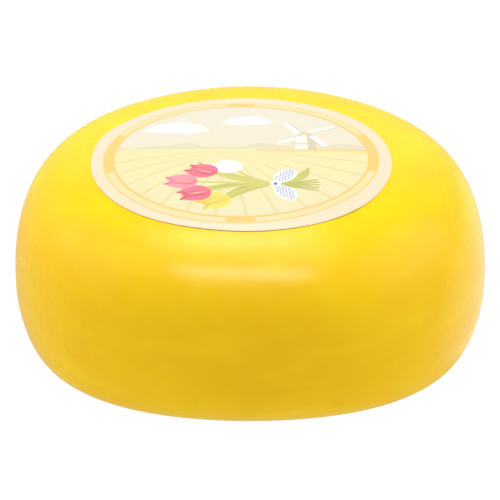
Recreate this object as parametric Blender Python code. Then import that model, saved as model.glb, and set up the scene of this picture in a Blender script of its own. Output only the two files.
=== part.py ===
"""A whole young gouda cheese: a low round wheel in a wax coat, with a round label lying on its top.

Metres, +Z up. The origin is the centre of the flat base that the wheel stands on.
The front of the wheel, from which the label is seen upright, faces -Y.
"""
import math

import bmesh
import bpy
from mathutils import Vector

# The wheel, widest at its belly, which lies low because the soft curd settles as it ripens
WHEEL_RADIUS = 0.124
BELLY_HEIGHT = 0.0243
TOP_ABOVE_BELLY = 0.0742

# The top stays nearly level far out, then turns over one wide shoulder down to the belly
TOP_FLATNESS = 6.1
SHOULDER_POWER = 2.26
TOP_CROWN = 0.006

# The foot: the flat print that the wheel stands on is not quite round
PRINT_RADIUS = 0.1153
PRINT_FOUR_SIDED = 0.0031
PRINT_TWO_SIDED = 0.0031
FOOT_POWER = 1.85

# The label, a round sheet stuck on a little off centre
LABEL_RADIUS = 0.0764
LABEL_CENTRE = (-0.0041, -0.0160)
LABEL_THICKNESS = 0.0006
LABEL_GAP = 0.0003

# How finely the faces are cut
WHEEL_SIDES = 96
TOP_RINGS = 3
SHOULDER_RINGS = 20
FOOT_RINGS = 8
LABEL_SIDES = 72
LABEL_RINGS = 9
LABEL_RING_CROWDING = 0.6

COAT_COLOUR = (0.82, 0.47, 0.012)
COAT_ROUGHNESS = 0.35
LABEL_COLOUR = (0.90, 0.78, 0.50)
LABEL_ROUGHNESS = 0.6


def clear_scene():
    for thing in list(bpy.data.objects):
        bpy.data.objects.remove(thing, do_unlink=True)


def make_material(name, colour, roughness):
    material = bpy.data.materials.new(name)
    material.use_nodes = True
    shader = material.node_tree.nodes["Principled BSDF"]
    shader.inputs["Base Color"].default_value = (*colour, 1.0)
    shader.inputs["Roughness"].default_value = roughness
    shader.inputs["Metallic"].default_value = 0.0
    return material


def top_height(radius):
    """Height of the upper surface at a distance from the wheel's axis."""
    outward = min(radius / WHEEL_RADIUS, 1.0)
    shoulder = (1 - outward ** TOP_FLATNESS) ** (1 / SHOULDER_POWER)
    return BELLY_HEIGHT + TOP_ABOVE_BELLY * (1 - TOP_CROWN * outward ** 2) * shoulder


def shoulder_radius(share):
    """Radii that lie closer together where the shoulder turns; share runs from 0 at the middle to 1."""
    return WHEEL_RADIUS * math.sin(share * math.pi / 2) ** (2 / TOP_FLATNESS)


def print_radius(azimuth):
    """Radius of the flat that the wheel stands on; azimuth is measured from the front."""
    four_sided = PRINT_FOUR_SIDED * math.cos(4 * azimuth)
    two_sided = PRINT_TWO_SIDED * math.cos(2 * azimuth)
    return PRINT_RADIUS - four_sided - two_sided


def add_ring(mesh, radius_at, height):
    """One level loop of vertices; radius_at gives its radius for an azimuth measured from the front."""
    ring = []
    for index in range(WHEEL_SIDES):
        azimuth = 2 * math.pi * index / WHEEL_SIDES
        radius = radius_at(azimuth)
        ring.append(mesh.verts.new((radius * math.sin(azimuth), -radius * math.cos(azimuth), height)))
    return ring


def bridge(mesh, upper, lower):
    """Quads between two loops, the outer side facing out."""
    sides = len(upper)
    for index in range(sides):
        following = (index + 1) % sides
        mesh.faces.new((upper[index], lower[index], lower[following], upper[following]))


def close_with_fan(mesh, ring, centre, facing_up):
    middle = mesh.verts.new(centre)
    sides = len(ring)
    for index in range(sides):
        first, second = ring[index], ring[(index + 1) % sides]
        mesh.faces.new((middle, first, second) if facing_up else (middle, second, first))


def finish_object(mesh, name, material):
    bmesh.ops.triangulate(mesh, faces=mesh.faces[:], quad_method="SHORT_EDGE")
    data = bpy.data.meshes.new(name)
    mesh.to_mesh(data)
    mesh.free()
    data.materials.append(material)
    data.shade_smooth()
    piece = bpy.data.objects.new(name, data)
    bpy.context.scene.collection.objects.link(piece)
    return piece


def top_and_shoulder(mesh):
    first_radius = shoulder_radius(1 / SHOULDER_RINGS)
    radii = [first_radius * index / (TOP_RINGS + 1) for index in range(1, TOP_RINGS + 1)]
    radii += [shoulder_radius(index / SHOULDER_RINGS) for index in range(1, SHOULDER_RINGS + 1)]
    return [add_ring(mesh, lambda azimuth: radius, top_height(radius)) for radius in radii]


def foot(mesh):
    """Loops below the belly, each between the belly's circle and the outline of the print."""
    rings = []
    for index in range(FOOT_RINGS - 1, -1, -1):
        turn = index / FOOT_RINGS * math.pi / 2
        outward = math.sin(turn) ** (2 / FOOT_POWER)
        downward = math.cos(turn) ** (2 / FOOT_POWER)

        def foot_radius(azimuth):
            inner = print_radius(azimuth)
            return inner + (WHEEL_RADIUS - inner) * outward

        rings.append(add_ring(mesh, foot_radius, BELLY_HEIGHT * (1 - downward)))
    return rings


def build_wheel():
    mesh = bmesh.new()
    rings = top_and_shoulder(mesh) + foot(mesh)
    close_with_fan(mesh, rings[0], (0, 0, top_height(0)), True)
    for upper, lower in zip(rings, rings[1:]):
        bridge(mesh, upper, lower)
    close_with_fan(mesh, rings[-1], (0, 0, 0), False)
    return finish_object(mesh, "wheel", make_material("wax coat", COAT_COLOUR, COAT_ROUGHNESS))


def label_ring(mesh, radius, lift):
    """A loop of the label, laid on the top of the wheel and bent down with it."""
    ring = []
    for index in range(LABEL_SIDES):
        azimuth = 2 * math.pi * index / LABEL_SIDES
        place = Vector(LABEL_CENTRE) + radius * Vector((math.sin(azimuth), -math.cos(azimuth)))
        ring.append(mesh.verts.new((place.x, place.y, top_height(place.length) + lift)))
    return ring


def build_label():
    mesh = bmesh.new()
    under = LABEL_GAP
    over = LABEL_GAP + LABEL_THICKNESS
    shares = [index / LABEL_RINGS for index in range(1, LABEL_RINGS + 1)]
    radii = [LABEL_RADIUS * share ** LABEL_RING_CROWDING for share in shares]
    upper_rings = [label_ring(mesh, radius, over) for radius in radii]
    lower_rings = [label_ring(mesh, radius, under) for radius in reversed(radii)]
    rings = upper_rings + lower_rings
    middle_height = top_height(Vector(LABEL_CENTRE).length)
    close_with_fan(mesh, rings[0], (*LABEL_CENTRE, middle_height + over), True)
    for upper, lower in zip(rings, rings[1:]):
        bridge(mesh, upper, lower)
    close_with_fan(mesh, rings[-1], (*LABEL_CENTRE, middle_height + under), False)
    return finish_object(mesh, "label", make_material("printed paper", LABEL_COLOUR, LABEL_ROUGHNESS))


def main():
    clear_scene()
    build_wheel()
    build_label()


main()
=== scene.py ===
# %% [markdown]
# # A whole gouda in its yellow coat
#
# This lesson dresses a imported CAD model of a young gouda: a low round wheel of pressed curd in a yellow
# coat, with a round paper label stuck on its top. The main sizes come from the CAD model. The script
# adds what the eye looks for: the skin with its faint hollows, the print, the paper's edge, the light.

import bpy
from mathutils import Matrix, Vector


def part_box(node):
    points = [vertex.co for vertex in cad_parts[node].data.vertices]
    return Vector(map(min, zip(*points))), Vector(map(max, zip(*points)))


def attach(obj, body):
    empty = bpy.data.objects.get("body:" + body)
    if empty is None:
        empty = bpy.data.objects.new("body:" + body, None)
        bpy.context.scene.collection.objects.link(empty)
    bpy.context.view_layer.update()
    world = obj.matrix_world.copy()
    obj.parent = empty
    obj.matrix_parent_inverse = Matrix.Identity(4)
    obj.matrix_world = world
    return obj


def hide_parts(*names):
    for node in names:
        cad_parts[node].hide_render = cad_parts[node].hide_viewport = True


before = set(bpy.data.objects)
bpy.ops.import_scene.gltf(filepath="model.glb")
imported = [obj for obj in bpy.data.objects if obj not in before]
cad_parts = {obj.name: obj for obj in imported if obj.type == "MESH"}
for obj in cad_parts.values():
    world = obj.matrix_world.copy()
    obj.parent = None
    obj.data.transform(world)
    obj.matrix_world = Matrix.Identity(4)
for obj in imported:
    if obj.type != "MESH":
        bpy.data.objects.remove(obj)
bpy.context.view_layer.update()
print("pieces in the model:", sorted(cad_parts))

# %% [markdown]
# ## Sizes
#
# Blender works in metres. The wheel is widest at its belly, which lies low, because soft curd settles
# while it ripens. Its overall sizes are read off the model. The curves between them follow from a few
# numbers: how flat the top is, how full the shoulder and the foot are, and how far the flat print that
# it stands on is from round.

# %% Read the sizes
import math

import bpy
import numpy as np
from mathutils import Vector, noise
from mathutils.bvhtree import BVHTree
from mathutils.geometry import delaunay_2d_cdt

MM = 0.001

wheel_low, wheel_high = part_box("wheel")
label_low, label_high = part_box("label")
WHEEL_RADIUS = wheel_high.x
WHEEL_HEIGHT = wheel_high.z
LABEL_RADIUS = (label_high.x - label_low.x) / 2
LABEL_CENTRE = Vector((label_low.x + label_high.x, label_low.y + label_high.y)) / 2

BELLY_HEIGHT = 24.3 * MM
TOP_FLATNESS = 6.1
SHOULDER_POWER = 2.26
TOP_CROWN = 0.006
PRINT_RADIUS = 115.3 * MM
PRINT_FOUR_SIDED = 3.1 * MM
PRINT_TWO_SIDED = 3.1 * MM
FOOT_POWER = 1.85
print(f"wheel {2000 * WHEEL_RADIUS:.1f} mm across and {1000 * WHEEL_HEIGHT:.1f} mm high,"
      f" label {2000 * LABEL_RADIUS:.1f} mm across")

# %% [markdown]
# ## Colours and nodes
#
# A colour picked from a screen is in sRGB, and a shader calculates in linear light, so one function
# turns a hex value into linear numbers. A second one adds a shader node with its settings, its values
# and its links, which keeps the material cells down to one call for each node.

# %% Helpers for materials
def hex_to_linear(text):
    """Linear red, green, blue and alpha for an sRGB hex value."""
    shares = [int(text[start:start + 2], 16) / 255 for start in (1, 3, 5)]
    linear = [share / 12.92 if share <= 0.04045 else ((share + 0.055) / 1.055) ** 2.4 for share in shares]
    return (*linear, 1.0)


def add_node(material, kind, settings=None, inputs=None):
    """Adds a node. inputs gives for each socket its value, or the output socket that feeds it."""
    tree = material.node_tree
    node = tree.nodes.new(kind)
    for name, value in (settings or {}).items():
        setattr(node, name, value)
    for name, value in (inputs or {}).items():
        if isinstance(value, bpy.types.NodeSocket):
            tree.links.new(value, node.inputs[name])
        else:
            node.inputs[name].default_value = value
    return node


def start_material(name):
    """An empty node material, and the output node that its shader goes into."""
    material = bpy.data.materials.new(name)
    material.use_nodes = True
    material.node_tree.nodes.clear()
    return material, add_node(material, "ShaderNodeOutputMaterial")


print("paper white in linear light:", [round(share, 3) for share in hex_to_linear("#F4EBDD")])

# %% [markdown]
# ## The form of the wheel
#
# A pressed cheese is a body of revolution with one soft shoulder. It could be a scaled sphere, but a
# sphere has no flat top. A superellipse has one: the larger its power, the longer the top stays level
# before it turns over. The top is drawn so, and the foot below the belly by a second, smaller one.

# %% Height of the top at a distance from the middle
def ease(share):
    """A smooth step from 0 to 1."""
    share = min(max(share, 0.0), 1.0)
    return share * share * (3 - 2 * share)


def top_height(radius):
    outward = min(radius / WHEEL_RADIUS, 1.0)
    shoulder = (1 - outward ** TOP_FLATNESS) ** (1 / SHOULDER_POWER)
    return BELLY_HEIGHT + (WHEEL_HEIGHT - BELLY_HEIGHT) * (1 - TOP_CROWN * outward ** 2) * shoulder


def print_radius(azimuth):
    """Radius of the flat below; azimuth is measured from the front."""
    return PRINT_RADIUS - PRINT_FOUR_SIDED * math.cos(4 * azimuth) - PRINT_TWO_SIDED * math.cos(2 * azimuth)


print(f"the top falls {1000 * (top_height(0) - top_height(0.75 * WHEEL_RADIUS)):.1f} mm"
      " by three quarters of the way out")

# %% [markdown]
# A lathe turns a profile round the axis. The points along the profile are spread evenly by their
# distance, so that the faces stay about the same size on the level top and on the tight shoulder, and
# so the relief that comes later is drawn equally fine everywhere.

# %% Points along the profile
COAT_SPACING = 1.9 * MM
DENSE = 4000


def evenly_spaced(points, spacing):
    """Points about one spacing apart on a dense line; its two ends stay."""
    points = np.array(points)
    steps = np.hypot(*np.diff(points, axis=0).T)
    along = np.concatenate([[0], np.cumsum(steps)])
    wanted = np.linspace(0, along[-1], round(along[-1] / spacing) + 1)
    return [tuple(np.interp(wanted, along, points[:, axis])[index] for axis in (0, 1))
            for index in range(len(wanted))]


def dense_top():
    for index in range(DENSE + 1):
        radius = WHEEL_RADIUS * math.sin(index / DENSE * math.pi / 2) ** (2 / TOP_FLATNESS)
        yield radius, top_height(radius)


def foot_shares(turn):
    """How far out and down a point of the foot lies, as shares; turn is 1 at the belly, 0 at the print."""
    angle = turn * math.pi / 2
    return math.sin(angle) ** (2 / FOOT_POWER), math.cos(angle) ** (2 / FOOT_POWER)


def dense_foot():
    for index in range(DENSE + 1):
        outward, downward = foot_shares(1 - index / DENSE)
        yield PRINT_RADIUS + (WHEEL_RADIUS - PRINT_RADIUS) * outward, BELLY_HEIGHT * (1 - downward)


upper_profile = evenly_spaced(list(dense_top()), COAT_SPACING)
foot_profile = evenly_spaced(list(dense_foot()), COAT_SPACING)
print(f"{len(upper_profile)} points down to the belly and {len(foot_profile)} on the foot")

# %% [markdown]
# ## The relief of the coat
#
# The cheese is pressed in a cloth-lined mould and then coated a few times, so it is never quite even:
# slow swells a finger long, very shallow dents a thumb wide, and the least ripple where the coat set.
# Layers of smooth noise give all three. They are real displacement, so that the highlights bend with
# them. The paper lies on a smoothed patch, and the foot keeps its true outline where it meets the shelf.

# %% Noise layers for the relief
SWELL = 60 * MM
SWELL_HEIGHT = 0.35 * MM
DENT = 22 * MM
DENT_HEIGHT = 0.07 * MM
RIPPLE = 9 * MM
RIPPLE_HEIGHT = 0.012 * MM
LABEL_CALM = 18 * MM
RELIEF_AT_LABEL = 0.2
FOOT_CALM = 9 * MM


def layer(place, scale, height, shift):
    """One layer of noise; shift moves it, so that the layers don't line up."""
    return height * noise.noise(place / scale + Vector((shift, 2 * shift, 3 * shift)))


def coat_relief(place):
    """How far the coat stands out from the plain form, in metres; negative is inward."""
    height = layer(place, SWELL, SWELL_HEIGHT, 11) + layer(place, DENT, DENT_HEIGHT, 23)
    height += layer(place, RIPPLE, RIPPLE_HEIGHT, 37)
    outside_label = (place.xy - LABEL_CENTRE).length - LABEL_RADIUS
    if place.z > BELLY_HEIGHT:
        height *= ease(outside_label / LABEL_CALM + RELIEF_AT_LABEL)
    return height * ease(place.z / FOOT_CALM)


print("relief at the front:", round(1000 * coat_relief(Vector((0, -WHEEL_RADIUS, 0.05))), 3), "mm")

# %% Marks of the shelf underneath
SHELF_MARK = 11 * MM
SHELF_MARK_STRETCH = 6
SHELF_MARK_DEPTH = 0.18 * MM
MARK_MARGIN = 8 * MM
MARK_FADE = 12 * MM


def shelf_mark(place):
    """The underside is pressed a little inward between the planks of the ripening shelf."""
    spot = Vector((place.x / SHELF_MARK, place.y / (SHELF_MARK_STRETCH * SHELF_MARK), 5))
    wave = 0.5 + 0.5 * noise.noise(spot)
    edge = ease((PRINT_RADIUS - MARK_MARGIN - place.xy.length) / MARK_FADE)
    return SHELF_MARK_DEPTH * wave * edge


print("deepest shelf mark:", round(1000 * SHELF_MARK_DEPTH, 2), "mm")

# %% [markdown]
# The lathe itself is a loop: each point of the profile becomes a ring of points, and each pair of rings
# a strip of faces. A Screw modifier could do the same, but the foot's rings aren't quite round, and a
# loop can give each one its own radius for each direction.

# %% Rings of the coat
COAT_SIDES = 408
BASE_SPACING = 5 * MM
FIRST_RING = 2  # the points nearer to the middle are left to the fan that closes the top

# The turn of each foot point, found again from its height
foot_turns = [2 / math.pi * math.asin(min(1, (1 - height / BELLY_HEIGHT) ** (FOOT_POWER / 2)))
              for radius, height in foot_profile]


def coat_rings():
    """Rings of points from the top's middle to the middle of the underside."""
    azimuths = [2 * math.pi * side / COAT_SIDES for side in range(COAT_SIDES)]
    for radius, height in upper_profile[FIRST_RING:]:
        yield [(radius, azimuth, height) for azimuth in azimuths]
    for turn in foot_turns[1:]:
        outward, downward = foot_shares(1 - turn)
        ring = []
        for azimuth in azimuths:
            inner = print_radius(azimuth)
            ring.append((inner + (WHEEL_RADIUS - inner) * outward, azimuth, BELLY_HEIGHT * (1 - downward)))
        yield ring
    base_steps = round(PRINT_RADIUS / BASE_SPACING)
    for step in range(base_steps - 1, 0, -1):
        yield [(print_radius(azimuth) * step / base_steps, azimuth, 0.0) for azimuth in azimuths]


rings = list(coat_rings())
print(len(rings), "rings of", COAT_SIDES, "points")

# %% Turn the profile on the lathe
places = [Vector((radius * math.sin(azimuth), -radius * math.cos(azimuth), height))
          for ring in rings for radius, azimuth, height in ring]
faces = []
for ring in range(len(rings) - 1):
    for side in range(COAT_SIDES):
        after = (side + 1) % COAT_SIDES
        upper = ring * COAT_SIDES
        lower = upper + COAT_SIDES
        faces.append((upper + side, lower + side, lower + after, upper + after))
top_middle = len(places)
base_middle = top_middle + 1
places += [Vector((0, 0, top_height(0))), Vector((0, 0, 0))]
last = (len(rings) - 1) * COAT_SIDES
for side in range(COAT_SIDES):
    after = (side + 1) % COAT_SIDES
    faces.append((top_middle, side, after))
    faces.append((base_middle, last + after, last + side))

coat_mesh = bpy.data.meshes.new("wax_coat")
coat_mesh.from_pydata(places, [], faces)
print(f"{len(places)} points and {len(faces)} faces in the coat")

# %% Press the relief into it
normals = [vertex.normal.copy() for vertex in coat_mesh.vertices]
for vertex, place, normal in zip(coat_mesh.vertices, places, normals):
    if place.z > 0:
        vertex.co = place + normal * coat_relief(place)
    else:
        vertex.co = place + Vector((0, 0, shelf_mark(place)))
coat_mesh.shade_smooth()
coat = bpy.data.objects.new("wax_coat", coat_mesh)
bpy.context.scene.collection.objects.link(coat)

wheel_tree = BVHTree.FromObject(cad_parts["wheel"], bpy.context.evaluated_depsgraph_get())
away = max(wheel_tree.find_nearest(vertex.co)[3] for vertex in coat_mesh.vertices)
print(f"the coat is at most {1000 * away:.2f} mm from the CAD wheel")

# %% [markdown]
# ## The coat's finish
#
# Gouda is coated with a thin yellow polymer, brushed on in layers, which looks like satin wax: an even
# warm yellow, a soft broad highlight, and a little light that sinks in before it comes back. One flat
# colour would look like painted plastic. So the yellow drifts slowly from patch to patch and shows
# faint level streaks left by the brush. Four noises of different sizes drive this; the finest one is
# kept for the grain of the skin.

# %% Noises of the yellow cheese coating
CLOUD_SIZE = 50 * MM
BRUSH_LENGTH = 42 * MM
BRUSH_WIDTH = 11 * MM
MOTTLE_SIZE = 10 * MM
GRAIN_SIZE = 2.6 * MM  # the real grain is finer, about 1 mm, but would not show at this distance

wax, wax_output = start_material("yellow_cheese_coating")
where = add_node(wax, "ShaderNodeTexCoord").outputs["Object"]
along_brush = add_node(wax, "ShaderNodeMapping", None, {
    "Vector": where,
    "Scale": (1 / BRUSH_LENGTH, 1 / BRUSH_LENGTH, 1 / BRUSH_WIDTH),
}).outputs["Vector"]
cloud = add_node(wax, "ShaderNodeTexNoise", None, {
    "Vector": where, "Scale": 1 / CLOUD_SIZE, "Detail": 1.0,
}).outputs["Fac"]
brush = add_node(wax, "ShaderNodeTexNoise", None, {
    "Vector": along_brush, "Scale": 1.0, "Detail": 2.0,
}).outputs["Fac"]
mottle = add_node(wax, "ShaderNodeTexNoise", None, {
    "Vector": where, "Scale": 1 / MOTTLE_SIZE, "Detail": 1.5,
}).outputs["Fac"]
grain = add_node(wax, "ShaderNodeTexNoise", None, {
    "Vector": where, "Scale": 1 / GRAIN_SIZE, "Detail": 1.0,
}).outputs["Fac"]
print("slow drift of the colour about every", round(1000 * CLOUD_SIZE), "mm")

# %% Three yellows mixed by the noises
COAT_YELLOW = hex_to_linear("#EDC106")
COAT_DEEP = hex_to_linear("#E8B502")
COAT_PALE = hex_to_linear("#F2CD10")

# A Mix node that mixes colours has its share at socket 0, its colours at 6 and 7, its result at 2
MIX_SHARE = 0
MIX_FIRST = 6
MIX_SECOND = 7
MIX_RESULT = 2

deep_share = add_node(wax, "ShaderNodeMapRange", None, {
    "Value": cloud, "From Min": 0.35, "From Max": 0.65, "To Max": 0.55,
}).outputs["Result"]
deepened = add_node(wax, "ShaderNodeMix", {"data_type": "RGBA"}, {
    MIX_SHARE: deep_share, MIX_FIRST: COAT_YELLOW, MIX_SECOND: COAT_DEEP,
}).outputs[MIX_RESULT]
streak_share = add_node(wax, "ShaderNodeMapRange", None, {
    "Value": brush, "From Min": 0.5, "From Max": 0.72, "To Max": 0.45,
}).outputs["Result"]
brushed = add_node(wax, "ShaderNodeMix", {"data_type": "RGBA"}, {
    MIX_SHARE: streak_share, MIX_FIRST: deepened, MIX_SECOND: COAT_PALE,
}).outputs[MIX_RESULT]
mottle_share = add_node(wax, "ShaderNodeMapRange", None, {
    "Value": mottle, "From Min": 0.42, "From Max": 0.7, "To Max": 0.14,
}).outputs["Result"]
mottled = add_node(wax, "ShaderNodeMix", {"data_type": "RGBA"}, {
    MIX_SHARE: mottle_share, MIX_FIRST: brushed, MIX_SECOND: COAT_PALE,
}).outputs[MIX_RESULT]
print("main yellow in linear light:", [round(share, 3) for share in COAT_YELLOW])

# %% [markdown]
# Close up, a coat has a few flaws: crumbs of dried coating that show pale, and pinholes where a bubble
# broke. A pinhole has no hollow here: its dark spot is painted shade, standing for the shade inside the
# hole. One cell pattern scatters both: a spot in the middle of each cell, kept only in the few cells
# whose random colour is high or low.

# %% Spots for flecks and pinholes
FLAW_SPACING = 17 * MM
FLAW_RADIUS = 0.42 * MM
FLECKS_ABOVE = 0.88
PINHOLES_BELOW = 0.14
CHANCE_STEP = 0.02

cells = add_node(wax, "ShaderNodeTexVoronoi", None, {"Vector": where, "Scale": 1 / FLAW_SPACING})
near_middle = add_node(wax, "ShaderNodeMapRange", {"interpolation_type": "SMOOTHSTEP"}, {
    "Value": cells.outputs["Distance"],
    "From Min": 0.5 * FLAW_RADIUS / FLAW_SPACING,
    "From Max": 1.6 * FLAW_RADIUS / FLAW_SPACING,
    "To Min": 1.0,
    "To Max": 0.0,
}).outputs["Result"]
chance = add_node(wax, "ShaderNodeSeparateColor", None, {"Color": cells.outputs["Color"]}).outputs["Red"]
is_fleck = add_node(wax, "ShaderNodeMapRange", None, {
    "Value": chance, "From Min": FLECKS_ABOVE, "From Max": FLECKS_ABOVE + CHANCE_STEP,
}).outputs["Result"]
is_pinhole_shade = add_node(wax, "ShaderNodeMapRange", None, {
    "Value": chance, "From Min": PINHOLES_BELOW, "From Max": PINHOLES_BELOW - CHANCE_STEP,
}).outputs["Result"]
print("flaws about every", round(1000 * FLAW_SPACING), "mm, most of them left out")

# %% Pale flecks, and pinholes as painted shade, over the yellow
FLECK = hex_to_linear("#FBF3D6")
# Painted shade: the pinhole's dark yellow stands for the shade inside a hollow that has no geometry
PINHOLE_SHADE = hex_to_linear("#B98A05")

fleck_here = add_node(wax, "ShaderNodeMath", {"operation": "MULTIPLY"}, {
    0: near_middle, 1: is_fleck,
}).outputs["Value"]
pinhole_shade_here = add_node(wax, "ShaderNodeMath", {"operation": "MULTIPLY"}, {
    0: near_middle, 1: is_pinhole_shade,
}).outputs["Value"]
flecked = add_node(wax, "ShaderNodeMix", {"data_type": "RGBA"}, {
    MIX_SHARE: fleck_here, MIX_FIRST: mottled, MIX_SECOND: FLECK,
}).outputs[MIX_RESULT]
# The pinholes' painted shade goes over the yellow and its pale flecks
flawed_and_shaded = add_node(wax, "ShaderNodeMix", {"data_type": "RGBA"}, {
    MIX_SHARE: pinhole_shade_here, MIX_FIRST: flecked, MIX_SECOND: PINHOLE_SHADE,
}).outputs[MIX_RESULT]
print("fleck radius", round(1000 * FLAW_RADIUS, 2), "mm")

# %% [markdown]
# The coating is a smooth polymer with an index of about 1.45. On the cheese its gloss is weaker than
# that index gives, since the skin is dulled by handling, so the specular level is lowered. Bump from
# the finest noise gives the skin a grain that is only just there. Red light goes furthest through
# cheese and blue hardly at all, which the three radii below the surface say.

# %% Gloss and depth of the coating
skin = add_node(wax, "ShaderNodeBump", None, {
    "Height": grain, "Strength": 0.04, "Distance": 0.05 * MM,
}).outputs["Normal"]
wax_roughness = add_node(wax, "ShaderNodeMapRange", None, {
    "Value": mottle, "From Min": 0.3, "From Max": 0.7, "To Min": 0.25, "To Max": 0.30,
}).outputs["Result"]
wax_shader = add_node(wax, "ShaderNodeBsdfPrincipled", None, {
    "Base Color": flawed_and_shaded,
    "Roughness": wax_roughness,
    "IOR": 1.45,
    "Specular IOR Level": 0.17,
    "Subsurface Weight": 0.12,
    "Subsurface Radius": (1.0, 0.45, 0.08),
    "Subsurface Scale": 3 * MM,
    "Normal": skin,
})
wax.node_tree.links.new(wax_shader.outputs["BSDF"], wax_output.inputs["Surface"])
coat_mesh.materials.append(wax)
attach(coat, "root")
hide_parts("wheel")
print("finish of the coat:", wax.name)

# %% [markdown]
# ## The print on the label
#
# A printed label is ink on thin coated paper. It could be a picture on a plane, but a picture is blurred
# from near by. This one is drawn as a map of flat shapes with crisp edges, like cut paper. All shapes
# are given in millimetres from the middle of the label, u to the right and v to the back.

# %% Inks
INK = {
    "cream": "#DFC1A5", "amber": "#CFB062", "pale stripe": "#D5BF90", "fine line": "#C9B56F",
    "sky": "#C8C2B1", "low sky": "#CCC2A9", "cloud": "#DCDCDA",
    "far dune": "#CBC2AA", "near dune": "#C2B99F", "field": "#CDC491", "near field": "#CBC39F",
    "furrow": "#C5BC8A", "bloom row": "#D3A08F", "mill wall": "#D6D2C4", "mill shade": "#B9AF95",
    "coral": "#CF6678", "deep coral": "#BE5267", "light coral": "#DB8590", "vein": "#D9C08A",
    "leaf": "#B7B25F", "deep leaf": "#A3A253", "butter": "#D6C257", "deep butter": "#C7AC45",
    "white": "#DCDCDE", "grey white": "#C9C9CC", "blue": "#4A62B4",
}
INK = {name: np.array(hex_to_linear(text)) for name, text in INK.items()}
print(len(INK), "inks")

# %% [markdown]
# A few kinds of outline draw nearly everything: part of a ring, an oval, and a blade that swells and
# ends in a point. Each is a list of points worked out from its sizes, so a shape is changed by changing
# one number. Curves could be used instead, but plain points go straight into the map later on.

# %% Circles of the print
DISC = 64.2  # radius of the picture
UNDER_RING = 66.5  # the picture runs on this far, under the ring round it
RING = 70.0  # outer radius of that ring
PAPER = 1000 * LABEL_RADIUS
PRINT_SHIFT = (-0.35, -0.8)  # the print sits a little off the middle of the cut paper
shapes = []


def draw(outline, ink, far_ink=None):
    """Adds a shape. Later shapes lie over earlier ones; the ink may change towards the back."""
    shapes.append((np.array(outline) + PRINT_SHIFT, INK[ink], INK[far_ink or ink]))


print("paper radius", round(PAPER, 1), "mm")

# %% Plain shapes
ARC_STEP = 3  # degrees


def polar(radius, degrees):
    return np.array((radius * math.cos(math.radians(degrees)), radius * math.sin(math.radians(degrees))))


def band(inner, outer, start, end):
    """Part of a ring; angles run anticlockwise from the right, in degrees."""
    angles = np.linspace(start, end, max(2, round((end - start) / ARC_STEP) + 1))
    return [polar(outer, angle) for angle in angles] + [polar(inner, angle) for angle in angles[::-1]]


def oval(centre, half_width, half_height, tilt=0, count=22):
    across, up = polar(1, tilt), polar(1, tilt + 90)
    turns = [polar(1, 360 * index / count) for index in range(count)]
    return [np.array(centre) + across * half_width * u + up * half_height * v for u, v in turns]


def box(left, right, low, high):
    return [(left, low), (right, low), (right, high), (left, high)]


def turned(points, place, degrees):
    """The same points, turned and moved so that their origin comes to a place."""
    across, up = polar(1, degrees), polar(1, degrees + 90)
    return [np.array(place) + across * u + up * v for u, v in points]


print("an arc has a point every", ARC_STEP, "degrees")

# %% Blades for petals, leaves and stems
LEAST_SWELL = 0.02


def blade(root, tip, width, bow=0.0, fullness=1.0, taper=0.8, count=14):
    """A petal or leaf: a bowed line with a width that swells and ends in a point."""
    root, tip = np.array(root), np.array(tip)
    side = np.array((root[1] - tip[1], tip[0] - root[0])) / np.linalg.norm(tip - root)
    left, right = [], []
    for index in range(count + 1):
        share = index / count
        middle = root + (tip - root) * share + side * bow * 4 * share * (1 - share)
        half = width / 2 * max(LEAST_SWELL, math.sin(math.pi * share ** fullness)) ** taper
        left.append(middle + side * half)
        right.append(middle - side * half)
    return left + right[::-1]


print("points in a blade:", len(blade((0, 0), (10, 0), 3)))

# %% [markdown]
# The picture is a generic spring landscape in soft colours: a hazy sky with clouds, dunes, a ploughed
# field whose furrows run to one point, a windmill and, across the front, a bunch of tulips. It is drawn
# from the back to the front, as a painter would.

# %% Sky and clouds
CLOUDS = ((-34, 33, 1.0), (3, 43, 0.8))  # place and size
PUFFS = ((0, 0, 17, 4.0), (-7, 3.2, 7, 4.6), (2, 5.0, 8, 6.0), (9, 2.6, 6, 4.2))  # place and half sizes

draw(oval((0, 0), UNDER_RING, UNDER_RING, count=120), "low sky", "sky")
for u, v, size in CLOUDS:
    for shift, lift, half_width, half_height in PUFFS:
        centre = (u + shift * size, v + lift * size)
        draw(oval(centre, half_width * size, half_height * size), "cloud")
print(len(shapes), "shapes in the sky")

# %% Dunes
HORIZON = 9.0
LAND_POINTS = 60
LAND_FADE = 8


def ground(level, waves, seed):
    """Land below a wavy line, closed along the disc's edge; waves are pairs of height and length."""
    half = math.sqrt(UNDER_RING ** 2 - level ** 2)
    line = []
    for u in np.linspace(-half, half, LAND_POINTS):
        height = sum(tall * math.cos(2 * math.pi * u / length + seed + tall) for tall, length in waves)
        line.append((u, level + height * min(1, (half - abs(u)) / LAND_FADE)))
    start = math.degrees(math.atan2(level, half))
    arc = [polar(UNDER_RING, angle) for angle in np.linspace(start, -180 - start, LAND_POINTS)[1:-1]]
    return line + arc


draw(ground(HORIZON + 9, ((2.6, 61), (1.3, 27)), 0.4), "far dune")
draw(ground(HORIZON + 4, ((2.4, 44), (1.0, 19)), 2.1), "near dune")
draw(ground(HORIZON, ((0.0, 50),), 0), "near field", "field")
print(len(shapes), "shapes with the land")

# %% Furrows and rows of bloom
VANISHING = (-6.0, HORIZON)
FURROW_STEP = 12  # degrees
FURROW_HALF = 0.9  # degrees
FURROW_REACH = 90
BLOOM_START = 8

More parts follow.
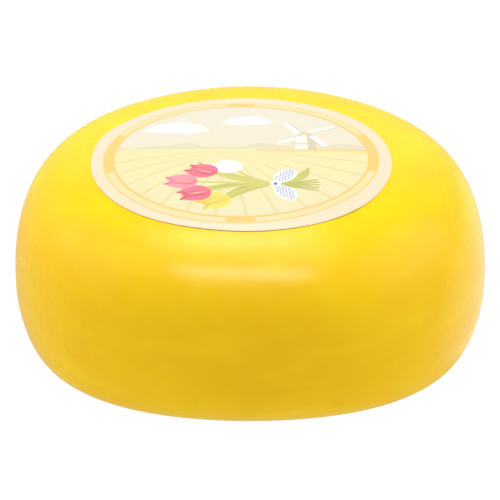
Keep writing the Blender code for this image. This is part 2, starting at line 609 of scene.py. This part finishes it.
for degrees in range(-168, -8, FURROW_STEP):
    tips = [VANISHING + polar(FURROW_REACH, degrees + half) for half in (-FURROW_HALF, FURROW_HALF)]
    draw([VANISHING] + [tip * min(1, UNDER_RING / np.linalg.norm(tip)) for tip in tips], "furrow")
for level, ink in ((HORIZON - 1.4, "bloom row"), (HORIZON - 3.6, "butter")):
    half = math.sqrt(UNDER_RING ** 2 - level ** 2)
    near_end = [(half, level - 0.7), (half, level + 0.7)]
    draw([(BLOOM_START, level - 0.5)] + near_end + [(BLOOM_START, level + 0.5)], ink)
print(len(shapes), "shapes with the furrows")

# %% [markdown]
# The windmill is a tapered tower with a gallery and a cap. Its four sails are one sail turned by a
# quarter each time: a stock, a pale sheet along one side of it, and three bars across the sheet.

# %% Windmill
MILL = np.array((33.0, HORIZON))
HUB = MILL + (0, 18.2)
STOCK_LENGTH = 18
STOCK_HALF = 0.45
SAIL_EDGE = 3.6
BAR_WIDTH = 0.5

draw(turned([(-6.0, -0.5), (6.0, -0.5), (3.6, 17), (-3.6, 17)], MILL, 0), "mill wall")
draw(turned([(1.0, -0.5), (6.0, -0.5), (3.6, 17), (1.0, 17)], MILL, 0), "mill shade")
draw(turned(box(-7.4, 7.4, 5.6, 6.8), MILL, 0), "mill shade")
draw(turned([(-4.4, 17), (4.4, 17), (3.0, 20.5), (0, 22), (-3.0, 20.5)], MILL, 0), "near dune")
for degrees in (28, 118, 208, 298):
    draw(turned(box(0, STOCK_LENGTH, -STOCK_HALF, STOCK_HALF), HUB, degrees), "mill shade")
    draw(turned(box(3.5, 17.5, STOCK_HALF, SAIL_EDGE), HUB, degrees), "cloud")
    for out in (6.8, 10.4, 14.0):
        draw(turned(box(out, out + BAR_WIDTH, STOCK_HALF, SAIL_EDGE), HUB, degrees), "mill shade")
draw(oval(HUB, 1.3, 1.3, count=12), "near dune")
print(len(shapes), "shapes with the windmill")

# %% [markdown]
# A tulip seen from the side shows three petals in front and the tips of two behind. Each petal is one
# blade, and the same outline, longer and thinner, makes the leaves and the stems.

# %% Bunch of tulips
TIE = np.array((17.0, -33.0))
HEAD_LENGTH = 17.0
LEAVES = (((-22, -7), 6.5, 5), ((-12, -57), 6.5, -5), ((34, -14), 6.0, -4), ((-30, -44), 5, -3))


def tulip(reach, degrees, bow, near, far):
    """One flower: its stem leaves the tie at an angle and bows; the head follows on."""
    base = TIE + polar(reach, degrees)
    end = TIE - polar(22, degrees * 0.45 + 99)
    draw(blade(end, TIE, 1.6, 0.5, 1.0, 0.15), "deep leaf")
    draw(blade(TIE, base, 1.8, bow, 1.0, 0.15), "leaf")
    lean = degrees - bow * 2.2
    for turn in (-13, 13):
        draw(blade(base, base + polar(HEAD_LENGTH * 0.98, lean + turn), 6.4, 0, 0.8, 0.7), near)
    for turn in (-19, 19):
        tip = base + polar(HEAD_LENGTH * 0.9, lean + turn * 0.8)
        draw(blade(base - polar(0.5, lean), tip, 7.4, math.copysign(2.4, turn), 0.75, 0.75), far)
    front_tip = base + polar(HEAD_LENGTH * 0.84, lean)
    draw(blade(base - polar(0.8, lean), front_tip, 7.6, 0, 0.72, 0.75), near, far)
    draw(blade(base + polar(1.5, lean), base + polar(HEAD_LENGTH * 0.62, lean), 0.7, 0), "vein")


for tip, width, bow in LEAVES:
    draw(blade(TIE, tip, width, bow, 0.9), "leaf", "deep leaf")
tulip(24, 141, 2.0, "grey white", "white")
tulip(27, 209, -2.0, "deep butter", "butter")
tulip(32, 158, 1.5, "deep coral", "coral")
tulip(33, 193, -1.5, "deep coral", "coral")
tulip(39, 176, 0.5, "coral", "light coral")
print(len(shapes), "shapes with the tulips")

# %% [markdown]
# A white ribbon with blue spots ties the bunch. The spots stand in rows across each loop of it, every
# second row shifted by half a step, and only those that lie wholly on the loop are drawn.

# %% Spotted ribbon
LOOP_LENGTH = 19
LOOP_WIDTH = 10.5
LOOP_FULLNESS = 1.25
LOOP_TAPER = 0.6
FIRST_SPOT = 4
SPOT_STEP = 1.9
SPOT_ROW = 1.55
SPOT_STAGGER = 0.78
SPOT_MARGIN = 0.7
SPOTTED_HALF = 4.6  # half of the width that spots may lie on, before the margin

for turn in (62, -62):
    along, across = polar(1, turn), polar(1, turn + 90)
    tip = TIE + polar(LOOP_LENGTH, turn)
    draw(blade(TIE, tip, LOOP_WIDTH, 0, LOOP_FULLNESS, LOOP_TAPER), "white", "grey white")
    for row in range(-3, 4):
        for column in range(8):
            out = FIRST_SPOT + SPOT_STEP * column
            aside = SPOT_ROW * row + SPOT_STAGGER * (column % 2)
            swell = math.sin(math.pi * (out / LOOP_LENGTH) ** LOOP_FULLNESS) ** LOOP_TAPER
            if abs(aside) < SPOTTED_HALF * swell - SPOT_MARGIN:
                draw(oval(TIE + along * out + across * aside, 0.62, 0.42, turn, 8), "blue")
draw(oval(TIE, 2.6, 3.4, 0, 14), "white")
draw(oval(TIE, 1.0, 1.6, 0, 10), "blue")
print(len(shapes), "shapes with the ribbon")

# %% [markdown]
# The ring round the picture is plain: a band of amber with pale pinstripes let into it, whole at the
# sides and in short blocks at the back and the front. Outside it the bare cream of the paper shows.

# %% Ring and rim
OUTER_LINE = 1.0
INNER_BAND = 1.4
PAST_PAPER = 3  # the cream runs on past the cut, as a print's bleed does

for start in (0, 180):
    draw(band(DISC, RING, start, start + 180), "pale stripe")
    draw(band(RING - OUTER_LINE, RING, start, start + 180), "fine line")
    draw(band(DISC, DISC + INNER_BAND, start, start + 180), "amber")
    draw(band(RING, PAPER + PAST_PAPER, start, start + 180), "cream")
for start, end in ((-14, 24), (156, 194)):
    draw(band(DISC, RING, start, end), "amber")
for start, end in ((84, 96), (264, 276)):
    draw(band(DISC + 1.0, RING - 1.2, start, end), "amber")
print(len(shapes), "shapes in the print")

# %% [markdown]
# ## From shapes to paper
#
# The sheet isn't cut quite round. It could be a plain circle, but that looks drawn with a compass. A
# few smooth swells, each with an angle, a spread and a height, vary the cut here, and further on they
# say in the same way how far the paper stands off.

# %% The cut edge
CUT = ((-105, 24, -1.5), (-45, 20, 1.6), (8, 16, -0.7), (113, 16, -0.6), (158, 13, 1.5))


def swells(degrees, table):
    """A value that changes smoothly round the label; each row gives an angle, a spread and a height."""
    away = [(degrees - centre + 180) % 360 - 180 for centre, spread, height in table]
    return sum(height * math.exp(-(gap / spread) ** 2)
               for gap, (centre, spread, height) in zip(away, table))


def cut_radius(u, v):
    """Radius of the paper's edge in the direction of a spot."""
    return PAPER + swells(math.degrees(math.atan2(v, u)), CUT)


print(f"the edge lies {cut_radius(1, -1):.1f} mm out at the front right, {cut_radius(0, 1):.1f} at the back")

# %% [markdown]
# All outlines go into one flat triangulation, with a grid of points between them so that the paper can
# bend. Every triangle then lies wholly in or out of each shape, and takes the ink of the last shape
# that holds its middle. The inks are stored at the corners of the faces, where a material can read them.

# %% Flat map of triangles
GRID = 2.3
GRID_ROW = 0.866  # rows this share of GRID apart make triangles with even sides
RIM_POINTS = 240
RIM_CLEAR = 0.6  # the grid stays this share of GRID inside the cut
INNER_PRINT = PAPER - 2  # an outline that reaches past this adds no points of its own
MERGE = 1e-3  # points nearer to each other than this, in millimetres, become one
ALL_TRIANGLES = 0  # the kind of result that keeps every triangle between the outermost points


def finely(outline):
    """The same outline with extra points, so that its long straight sides can bend with the paper."""
    fine = []
    for start, end in zip(outline, np.roll(outline, -1, axis=0)):
        steps = math.ceil(np.linalg.norm(end - start) / GRID)
        fine += [start + (end - start) * step / steps for step in range(steps)]
    return fine


rim = [polar(1, 360 * index / RIM_POINTS) for index in range(RIM_POINTS)]
points = [spot * cut_radius(*spot) for spot in rim]
edges = [(index, (index + 1) % RIM_POINTS) for index in range(RIM_POINTS)]
for outline, *inks_of_shape in shapes:
    kept = finely(outline) if np.hypot(*outline.T).max() < INNER_PRINT else []
    first = len(points)
    points += kept
    edges += [(first + index, first + (index + 1) % len(kept)) for index in range(len(kept))]
rows = round(PAPER / (GRID * GRID_ROW))
for row in range(-rows, rows + 1):
    for column in range(-rows, rows + 1):
        spot = np.array((GRID * (column + 0.5 * (row % 2)), GRID * GRID_ROW * row))
        if np.hypot(*spot) < cut_radius(*spot) - RIM_CLEAR * GRID:
            points.append(spot)
spots = [Vector(point) for point in points]
flat, _, triangles, *_ = delaunay_2d_cdt(spots, edges, [], ALL_TRIANGLES, MERGE, False)
flat = np.array(flat)
triangles = np.array(triangles)
print(f"{len(flat)} points and {len(triangles)} triangles in the flat print")

# %% Ink for every triangle
def crossings_odd(outline, spots):
    """Which spots are inside: those whose ray to the right crosses the outline an odd number of times."""
    u, v = spots.T
    odd = np.zeros(len(spots), dtype=bool)
    for (u0, v0), (u1, v1) in zip(outline, np.roll(outline, -1, axis=0)):
        if v0 != v1:
            odd ^= ((v0 > v) != (v1 > v)) & (u < u0 + (v - v0) / (v1 - v0) * (u1 - u0))
    return odd


corners = flat[triangles]
middles = corners.mean(axis=1)
inks = np.broadcast_to(INK["cream"], (len(triangles), 3, 4)).copy()
for outline, near, far in shapes:
    held = crossings_odd(outline, middles)
    low, high = outline[:, 1].min(), outline[:, 1].max()
    share = np.clip((corners[held][:, :, 1:] - low) / (high - low), 0, 1)
    inks[held] = near + (far - near) * share
print("different inks on the corners:", len(np.unique(inks.reshape(-1, 4).round(4), axis=0)))

# %% [markdown]
# ## Laying the paper on the wheel
#
# The sheet follows the top and dips with the shoulder at the front. Stiff paper can't bend two ways at
# once, so its edge stands off by a hair all round, a little more in four places, and throws a thin
# shadow there. Many waves round the edge would look like cloth, so there are very few.

# %% How the paper stands off
PAPER_THICKNESS = 0.20 * MM
PAPER_GAP = 0.12 * MM
EDGE_SHARE = 0.82
EDGE_LIFT = 0.14 * MM
EDGE_WAVE = 0.08 * MM
WAVE_CIRCLE = 3  # the noise is read round a circle of this radius; a larger one gives more waves
LIFTS = ((-100, 20, 0.10 * MM), (90, 40, 0.12 * MM), (-47, 9, 0.22 * MM), (-140, 14, 0.12 * MM))


def paper_lift(u, v):
    """How far the paper stands off the coat at a place of the flat print."""
    edge = ease((math.hypot(u, v) / PAPER - EDGE_SHARE) / (1 - EDGE_SHARE))
    angle = math.degrees(math.atan2(v, u))
    lift = EDGE_LIFT + EDGE_WAVE * noise.noise(Vector((*polar(WAVE_CIRCLE, angle), 0)))
    return (lift + swells(angle, LIFTS)) * edge


def on_wheel(u, v, height):
    """A place of the flat print, laid on the wheel, at a height above the paper's lower side."""
    x, y = LABEL_CENTRE.x + u * MM, LABEL_CENTRE.y + v * MM
    return Vector((x, y, top_height(math.hypot(x, y)) + PAPER_GAP + paper_lift(u, v) + height))


print(f"the edge at the front stands off {1000 * paper_lift(0, -PAPER):.2f} mm more than the middle")

# %% Bend and thickness
RIM_SLACK = 0.05

upper = [on_wheel(u, v, PAPER_THICKNESS) for u, v in flat]
lower = [on_wheel(u, v, 0) for u, v in flat]
count = len(flat)
at_rim = [index for index in range(count) if np.hypot(*flat[index]) > cut_radius(*flat[index]) - RIM_SLACK]
rim_loop = sorted(at_rim, key=lambda index: math.atan2(flat[index][1], flat[index][0]))
sides = [(a, a + count, b + count, b) for a, b in zip(rim_loop, rim_loop[1:] + rim_loop[:1])]
faces = [tuple(face) for face in triangles]
faces += [tuple(index + count for index in reversed(face)) for face in triangles.tolist()]
label_mesh = bpy.data.meshes.new("printed_label")
label_mesh.from_pydata(upper + lower, [], faces + sides)
print("faces dropped as too thin:", label_mesh.validate())

# %% [markdown]
# The triangulation leaves slivers along the outlines, and a sliver's own normal points anywhere, which
# would show as dark scratches. So each corner gets the normal of the bent sheet, worked out from its
# height a little to each side.

# %% Smooth normals
NORMAL_STEP = 0.5


def paper_normal(u, v):
    across = on_wheel(u + NORMAL_STEP, v, 0) - on_wheel(u - NORMAL_STEP, v, 0)
    along = on_wheel(u, v + NORMAL_STEP, 0) - on_wheel(u, v - NORMAL_STEP, 0)
    return across.cross(along).normalized()


upward = [paper_normal(u, v) for u, v in flat]
outward = [Vector((u, v, 0)).normalized() for u, v in flat]
corner_normals = [upward[index] for face in triangles for index in face]
corner_normals += [-upward[index] for face in triangles for index in reversed(face)]
corner_normals += [outward[index % count] for face in sides for index in face]
label_mesh.shade_smooth()
label_mesh.normals_split_custom_set(corner_normals)
print(len(corner_normals), "corner normals")

# %% Inks onto the sheet
ink_layer = label_mesh.color_attributes.new(name="ink", type="FLOAT_COLOR", domain="CORNER")
bare = np.broadcast_to(INK["white"], (3 * len(triangles) + 4 * len(sides), 4))
ink_layer.data.foreach_set("color", np.concatenate([inks.reshape(-1, 4), bare]).ravel().astype(np.float32))
label = bpy.data.objects.new("printed_label", label_mesh)
bpy.context.scene.collection.objects.link(label)
coat_tree = BVHTree.FromObject(coat, bpy.context.evaluated_depsgraph_get())
gaps = [(place - coat_tree.ray_cast(place, Vector((0, 0, -1)))[0]).length for place in lower]
print(f"the paper lies {1000 * min(gaps):.2f} to {1000 * max(gaps):.2f} mm above the coat")

# %% [markdown]
# ## The label's finish
#
# Offset print on coated label paper: satin, a little less glossy than the cheese. The inks never lie
# quite evenly, and the paper's fibres give the sheen a faint grain.

# %% Offset-printed paper
INK_MOTTLE = 1.6 * MM  # the real mottle is finer, about 0.3 mm, but would not show at this distance
FIBRE = 1.2 * MM  # the same goes for the fibres

paper, paper_output = start_material("offset_printed_paper")
place_on_paper = add_node(paper, "ShaderNodeTexCoord").outputs["Object"]
ink = add_node(paper, "ShaderNodeAttribute", {"attribute_name": "ink"}).outputs["Color"]
cloudy = add_node(paper, "ShaderNodeTexNoise", None, {
    "Vector": place_on_paper, "Scale": 1 / INK_MOTTLE, "Detail": 3.0,
}).outputs["Fac"]
ink_strength = add_node(paper, "ShaderNodeMapRange", None, {
    "Value": cloudy, "From Min": 0.3, "From Max": 0.7, "To Min": 0.988, "To Max": 1.012,
}).outputs["Result"]
mottled_ink = add_node(paper, "ShaderNodeHueSaturation", None, {
    "Color": ink, "Value": ink_strength,
}).outputs["Color"]
print("ink mottle", round(1000 * INK_MOTTLE, 1), "mm")

# %% Sheen and fibres of the paper
fibres = add_node(paper, "ShaderNodeTexNoise", None, {
    "Vector": place_on_paper, "Scale": 1 / FIBRE, "Detail": 4.0,
}).outputs["Fac"]
paper_grain = add_node(paper, "ShaderNodeBump", None, {
    "Height": fibres, "Strength": 0.15, "Distance": 0.08 * MM,
}).outputs["Normal"]
paper_roughness = add_node(paper, "ShaderNodeMapRange", None, {
    "Value": fibres, "From Min": 0.3, "From Max": 0.7, "To Min": 0.40, "To Max": 0.48,
}).outputs["Result"]
paper_shader = add_node(paper, "ShaderNodeBsdfPrincipled", None, {
    "Base Color": mottled_ink,
    "Roughness": paper_roughness,
    "IOR": 1.5,
    "Specular IOR Level": 0.3,
    "Normal": paper_grain,
})
paper.node_tree.links.new(paper_shader.outputs["BSDF"], paper_output.inputs["Surface"])
label_mesh.materials.append(paper)
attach(label, "root")
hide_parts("label")
print("finish of the label:", paper.name)

# %% [markdown]
# ## The studio
#
# The wheel stands on a lit sheet of white acrylic, as for a cut-out picture, so the foot is as bright as
# the side and there is hardly a shadow. A plain white floor would turn grey round the foot. The sheet is
# clear from below, so that the underside can be looked at, and it lies a hair below the wheel, because
# two faces in one place flicker. It is kept out of the gloss, where its glare would whiten the sides.

# %% White acrylic table
TABLE_HALF = 7.0
TABLE_DROP = 0.05 * MM
TABLE_CORNERS = [(-TABLE_HALF, -TABLE_HALF, 0), (TABLE_HALF, -TABLE_HALF, 0),
                 (TABLE_HALF, TABLE_HALF, 0), (-TABLE_HALF, TABLE_HALF, 0)]

table_mesh = bpy.data.meshes.new("light_table")
table_mesh.from_pydata(TABLE_CORNERS, [], [(0, 1, 2, 3)])
table = bpy.data.objects.new("light_table", table_mesh)
table.location.z = -TABLE_DROP
table.visible_glossy = False
bpy.context.scene.collection.objects.link(table)
print("the table is", 2 * TABLE_HALF, "m wide")

# %% Lit white acrylic
acrylic, acrylic_output = start_material("lit_white_acrylic")
glow = add_node(acrylic, "ShaderNodeBsdfPrincipled", None, {
    "Base Color": hex_to_linear("#3A3A3A"),
    "Roughness": 0.9,
    "Specular IOR Level": 0.0,
    "Emission Color": hex_to_linear("#FFFFFF"),
    "Emission Strength": 0.99,
}).outputs["BSDF"]
clear = add_node(acrylic, "ShaderNodeBsdfTransparent").outputs["BSDF"]
from_below = add_node(acrylic, "ShaderNodeNewGeometry").outputs["Backfacing"]
one_way = add_node(acrylic, "ShaderNodeMixShader", None, {0: from_below, 1: glow, 2: clear}).outputs["Shader"]
acrylic.node_tree.links.new(one_way, acrylic_output.inputs["Surface"])
table_mesh.materials.append(acrylic)
print("finish of the table:", acrylic.name)

# %% [markdown]
# Softboxes are area lights. One overhead makes the top the brightest part, one at each side lights the
# sides, and a faint one stands behind. Above the front, a wide silk gives the shoulder its pale sheen,
# and further forward a narrow strip draws the long highlight along it. Both light the gloss alone, and
# so does a lamp under the sheet, which makes the right rim pale. A fill at the rear left lights the
# surface and leaves no reflection. A white room fills in the rest.

# %% Softboxes
WHEEL_MIDDLE = Vector((0, 0, WHEEL_HEIGHT / 2))


def softbox(name, place, width, height, brightness):
    """An area light that faces the wheel; brightness is the light that its surface gives off."""
    light = bpy.data.lights.new(name, "AREA")
    light.shape = "RECTANGLE"
    light.size = width
    light.size_y = height
    light.energy = brightness * width * height * math.pi
    piece = bpy.data.objects.new(name, light)
    piece.location = place
    piece.rotation_euler = (WHEEL_MIDDLE - Vector(place)).to_track_quat("-Z", "Y").to_euler()
    piece.visible_camera = False
    bpy.context.scene.collection.objects.link(piece)
    return piece


softbox("overhead_softbox", (-0.05, 0.3, 2.2), 1.2, 1.0, 10.2)
silk = softbox("front_silk", (-0.1, -0.35, 2.2), 2.6, 1.2, 5.4)
silk.visible_diffuse = False
strip = softbox("front_strip", (-0.10, -1.24, 1.46), 1.9, 0.36, 23.3)
strip.visible_diffuse = False
softbox("back_softbox", (0, 2.4, 1.2), 3.0, 0.9, 0.35)
softbox("left_softbox", (-2.6, -0.1, 1.3), 2.6, 2.2, 1.40)
softbox("right_softbox", (2.6, -0.1, 1.3), 2.6, 2.2, 1.90)
fill = softbox("left_fill", (-2.3, 1.3, 0.8), 2.0, 1.4, 1.1)
fill.visible_glossy = False
under_sheet = softbox("under_sheet_lamp", (1.9, 1.6, -0.9), 2.4, 1.6, 0.7)
under_sheet.visible_diffuse = False

# %% White room
ROOM_LIGHT = 0.57

world = bpy.data.worlds.new("pale_room")
world.use_nodes = True
room = world.node_tree.nodes["Background"]
room.inputs["Color"].default_value = hex_to_linear("#FFFFFF")
room.inputs["Strength"].default_value = ROOM_LIGHT
bpy.context.scene.world = world
bpy.context.scene.view_settings.view_transform = "Standard"
print("room light", ROOM_LIGHT)

# %% [markdown]
# ## The camera
#
# A long lens about a metre away looks down at the wheel, at an angle of 27 degrees. Its place and
# length were worked out from how the round outline and the label's rings look in the photograph.

# %% Long lens in front
CAMERA_PLACE = Vector((0, -0.879, 0.484))
CAMERA_AIM = Vector((0, 0, 0.0367))
LENS_LENGTH = 133.98
SENSOR_WIDTH = 36

camera_data = bpy.data.cameras.new("camera")
camera_data.lens = LENS_LENGTH
camera_data.sensor_width = SENSOR_WIDTH
camera = bpy.data.objects.new("camera", camera_data)
camera.location = CAMERA_PLACE
camera.rotation_euler = (CAMERA_AIM - CAMERA_PLACE).to_track_quat("-Z", "Y").to_euler()
bpy.context.scene.collection.objects.link(camera)
bpy.context.scene.camera = camera
print(f"the camera is {(CAMERA_PLACE - CAMERA_AIM).length:.2f} m away")
